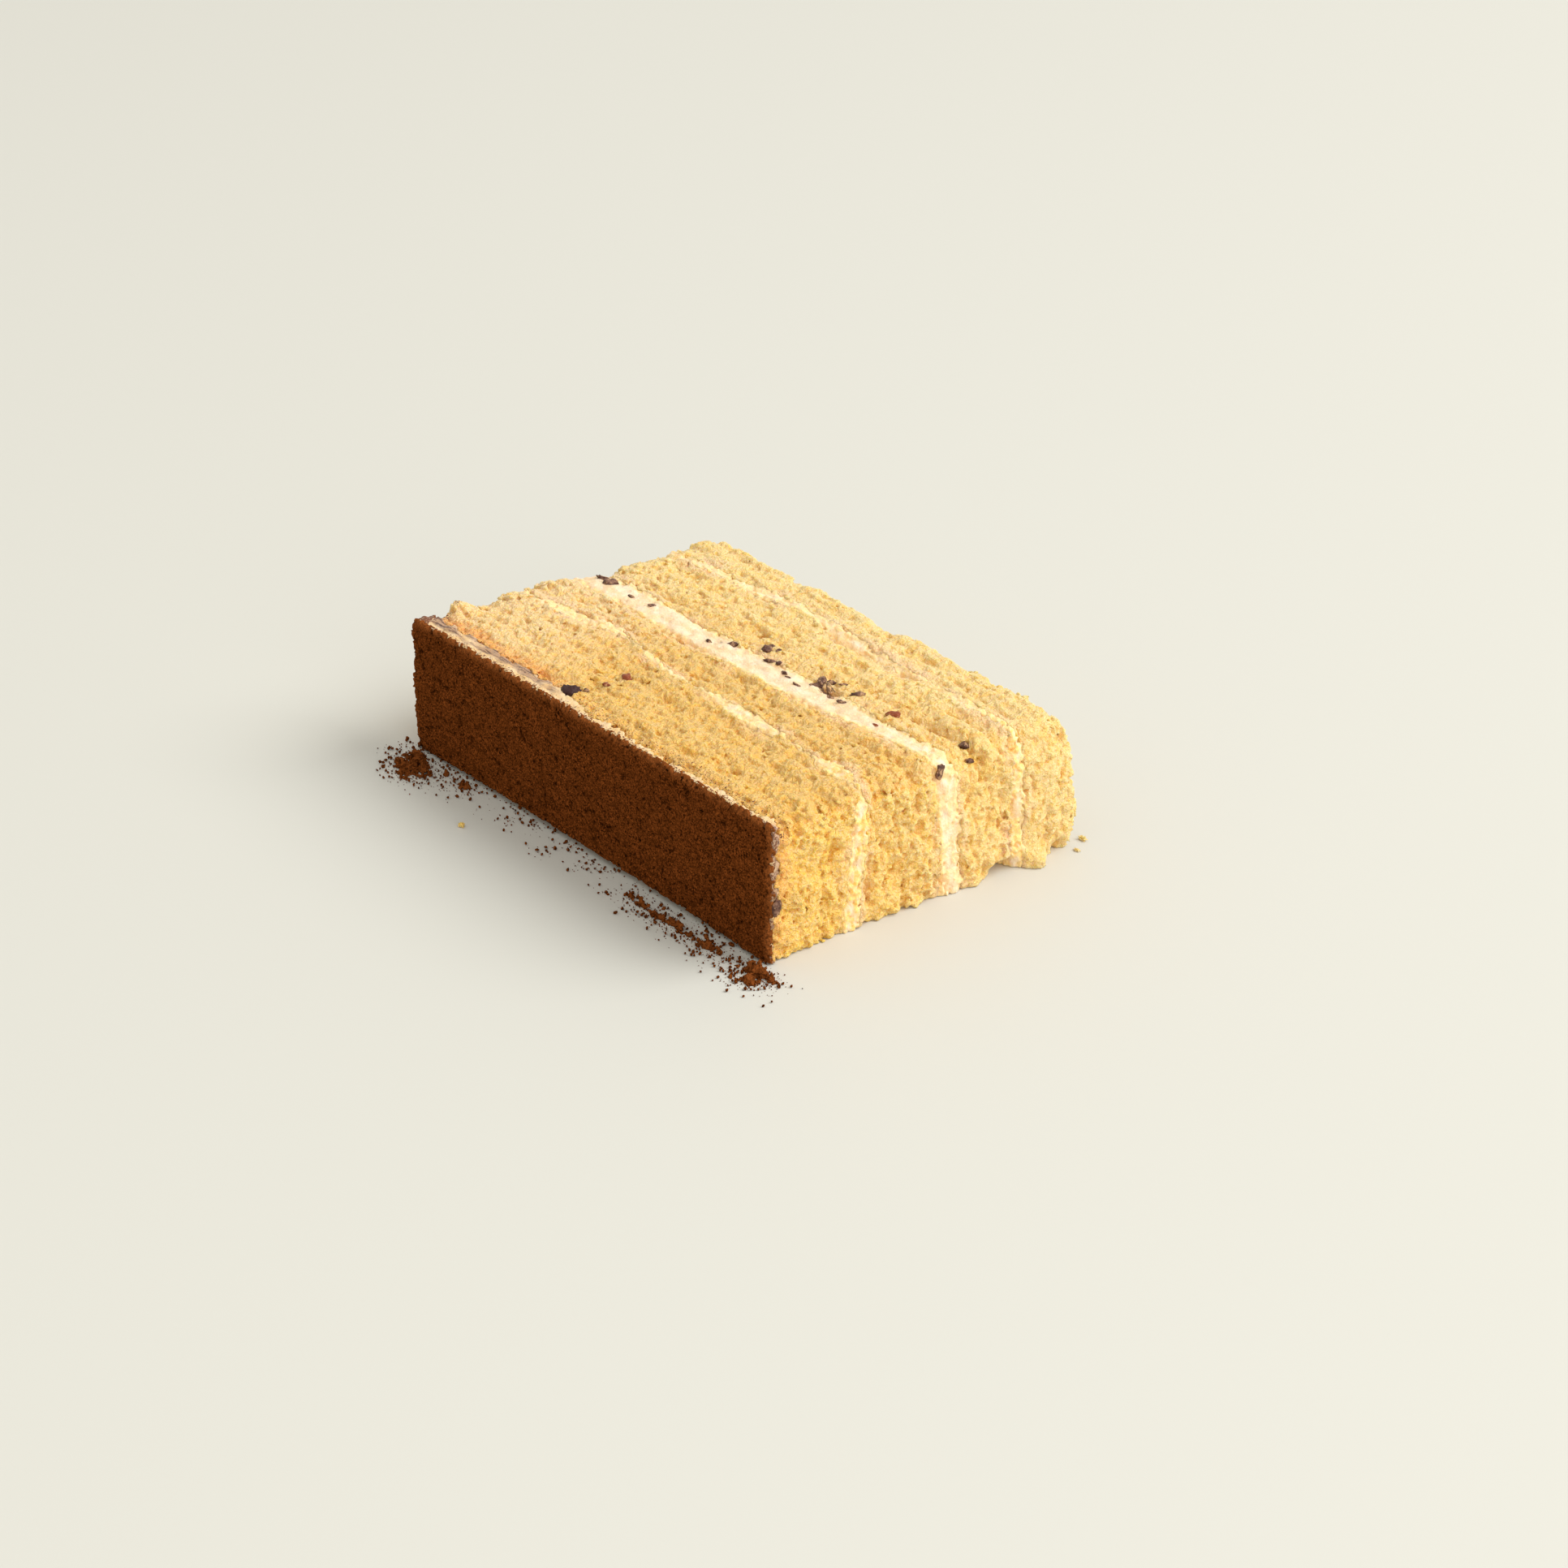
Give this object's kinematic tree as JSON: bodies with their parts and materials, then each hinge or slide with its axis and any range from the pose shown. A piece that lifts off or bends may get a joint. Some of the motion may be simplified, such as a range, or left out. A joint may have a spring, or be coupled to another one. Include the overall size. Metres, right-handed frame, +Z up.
{
  "type": "slice of layer cake",
  "caption": "Slice of layered vanilla sponge cake lying on its cut side, with coffee cream between the layers, bits of chocolate, a thin icing and a cocoa-dusted top.",
  "frame": {"origin": "centre of the bounding box on the plane that the slice lies on", "axes": "+X along the layers, +Y from the dusted top of the cake through the stack to its base, +Z up through the thickness of the slice, away from the cut face that it lies on"},
  "size_m": [0.104, 0.07, 0.0266],
  "materials": {
    "cocoa": "dry, dark brown cocoa powder",
    "icing": "soft pale icing, stained by the cocoa",
    "sponge": "open, torn crumb of a golden vanilla sponge",
    "cream": "pale coffee cream, satin",
    "chocolate": "broken dark chocolate, satin"
  },
  "bodies": {
    "root": {"cocoa_dusting": "cocoa", "icing": "icing", "sponge_1": "sponge", "cream_1": "cream", "sponge_2": "sponge", "cream_2": "cream", "sponge_3": "sponge", "cream_3": "cream", "sponge_4": "sponge"}
  },
  "joints": []
}
